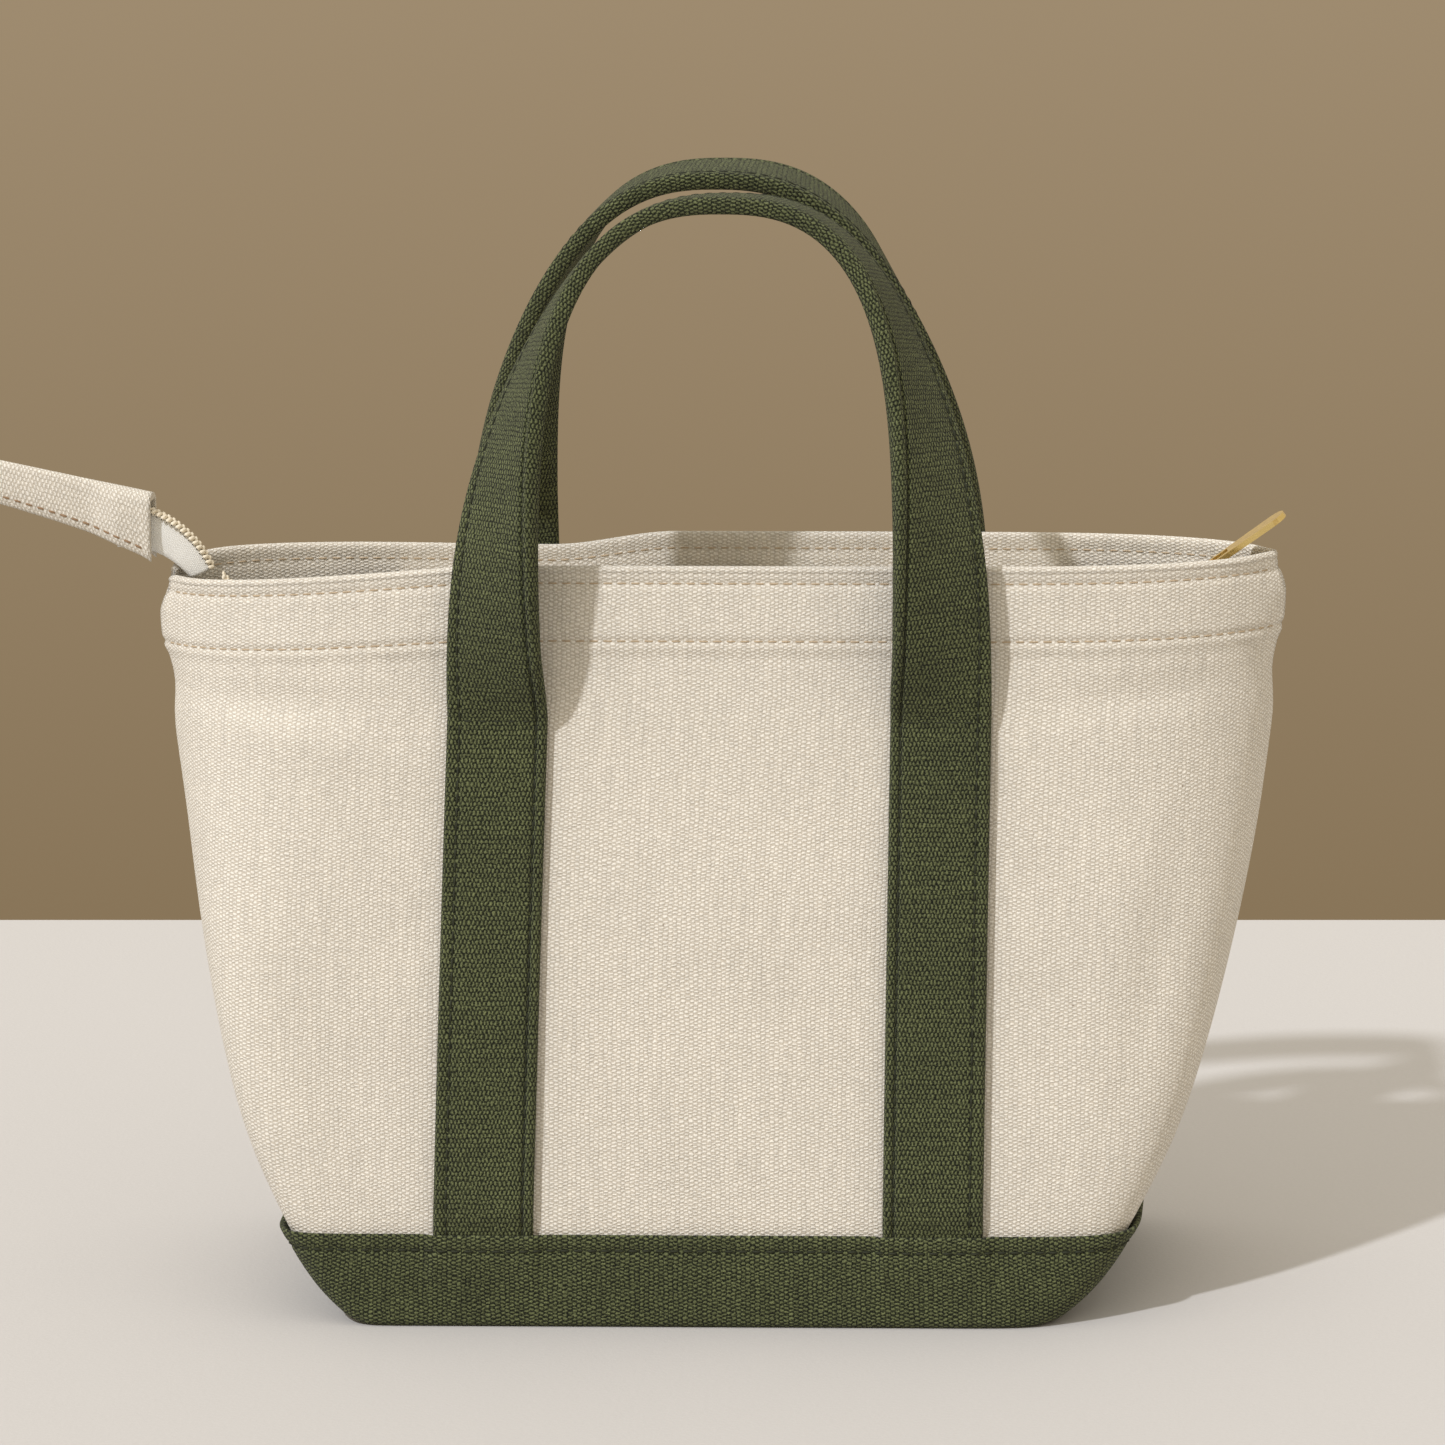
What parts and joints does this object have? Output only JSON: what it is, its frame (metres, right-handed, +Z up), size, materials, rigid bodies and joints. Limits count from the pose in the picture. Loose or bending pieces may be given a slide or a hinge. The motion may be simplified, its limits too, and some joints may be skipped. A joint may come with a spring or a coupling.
{
  "type": "zip-top canvas cash deposit bag",
  "caption": "Small zip-top canvas bag with a boxed base, contrast base cover and two strap handles, for carrying cash and small items.",
  "frame": {"origin": "centre of the base cover's flat underside, on the surface the bag stands on", "axes": "+Z up, -Y out of the front panel, +X to the right seen from the front, towards the closed zip slider"},
  "size_m": [0.3425, 0.1082, 0.2837],
  "materials": {
    "canvas": "matte",
    "green_canvas": "matte",
    "binding": "matte",
    "zip_tape": "matte",
    "zip_coil": "satin",
    "brass": "polished"
  },
  "bodies": {
    "bag": {"front_panel": "canvas", "back_panel": "canvas", "bottom_panel": "canvas", "base_cover": "green_canvas", "left_seam_binding": "binding", "right_seam_binding": "binding", "front_strap_left": "green_canvas", "front_strap_right": "green_canvas", "back_strap_left": "green_canvas", "back_strap_right": "green_canvas", "front_zip_facing": "canvas", "back_zip_facing": "canvas"},
    "front_flap": {"front_zip_strip": "canvas", "front_zip_tape": "zip_tape", "front_zip_coil": "zip_coil"},
    "back_flap": {"back_zip_strip": "canvas", "back_zip_tape": "zip_tape", "back_zip_coil": "zip_coil"},
    "front_handle": {"front_handle": "green_canvas"},
    "back_handle": {"back_handle": "green_canvas"},
    "slider": {"slider_body": "brass", "slider_bail": "brass"},
    "pull": {"pull_tab": "brass"},
    "zip_tail": {"front_tail_tape": "zip_tape", "back_tail_tape": "zip_tape", "zip_tail_coil": "zip_coil", "zip_end_tab": "canvas"}
  },
  "joints": [
    {"name": "slider_travel", "type": "slide", "parent": "bag", "child": "slider", "axis": [-1, 0, 0], "range_m": [0, 0.228]},
    {"name": "pull_swing", "type": "hinge", "parent": "slider", "child": "pull", "pos_m": [0.1205, 0, 0.1824], "axis": [0, -1, 0], "range_deg": [0, 108]},
    {"name": "front_flap_swing", "type": "hinge", "parent": "bag", "child": "front_flap", "pos_m": [0, -0.0155, 0.177], "axis": [-1, 0, 0], "range_deg": [0, 80], "deforming": ["front_zip_tape", "front_zip_coil"]},
    {"name": "back_flap_swing", "type": "hinge", "parent": "bag", "child": "back_flap", "pos_m": [0, 0.0155, 0.177], "axis": [1, 0, 0], "range_deg": [0, 80], "deforming": ["back_zip_tape", "back_zip_coil"]},
    {"name": "front_handle_swing", "type": "hinge", "parent": "bag", "child": "front_handle", "pos_m": [0, -0.03739, 0.151], "axis": [1, 0, 0], "range_deg": [0, 150]},
    {"name": "back_handle_swing", "type": "hinge", "parent": "bag", "child": "back_handle", "pos_m": [0, 0.03739, 0.151], "axis": [-1, 0, 0], "range_deg": [0, 150]},
    {"name": "zip_tail_swing", "type": "hinge", "parent": "bag", "child": "zip_tail", "pos_m": [-0.128, 0, 0.1822], "axis": [0, -1, 0], "range_deg": [-135, 0]}
  ],
  "couplings": [
    {"joint": "front_flap_swing", "follows": "slider_travel", "rad_per_m": 6.12},
    {"joint": "back_flap_swing", "follows": "slider_travel", "rad_per_m": 6.12}
  ]
}
